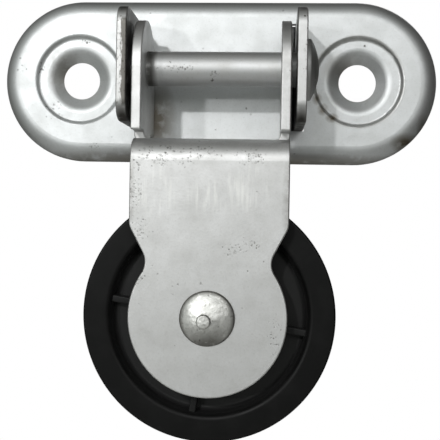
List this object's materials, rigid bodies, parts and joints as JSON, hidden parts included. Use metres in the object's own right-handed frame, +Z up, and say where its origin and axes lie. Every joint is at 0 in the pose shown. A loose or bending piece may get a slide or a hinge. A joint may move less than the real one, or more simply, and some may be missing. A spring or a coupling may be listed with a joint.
{
  "type": "hinged pulley",
  "caption": "Wall-mounted pulley with a grooved wheel in a folded sheet-steel fork that swings on a hinge pin held by a dished, countersunk plate.",
  "frame": {"origin": "on the wall plane, midway between the two screw holes", "axes": "+X along the wall plate, +Y into the wall, +Z up; the fork hangs straight down"},
  "size_m": [0.094, 0.0274, 0.0912],
  "materials": {
    "zinc_plated_sheet": "dull bright zinc plating on pressed sheet",
    "plated_rivet": "zinc-plated rivet steel, slightly darker",
    "black_nylon": "moulded black nylon, satin"
  },
  "bodies": {
    "wall_bracket": {"base_plate": "zinc_plated_sheet", "hinge_bracket": "zinc_plated_sheet", "hinge_pin": "plated_rivet"},
    "swing_fork": {"fork": "zinc_plated_sheet", "axle_rivet": "plated_rivet", "axle_bush": "plated_rivet"},
    "wheel": {"sheave": "black_nylon"}
  },
  "joints": [
    {"name": "fork_swing", "type": "hinge", "parent": "wall_bracket", "child": "swing_fork", "pos_m": [0, -0.01544, 0.0008], "axis": [-1, 0, 0], "range_deg": [-2, 182]},
    {"name": "sheave_spin", "type": "hinge", "parent": "swing_fork", "child": "wheel", "pos_m": [0, -0.01544, -0.0487], "axis": [0, 1, 0], "continuous": true}
  ]
}
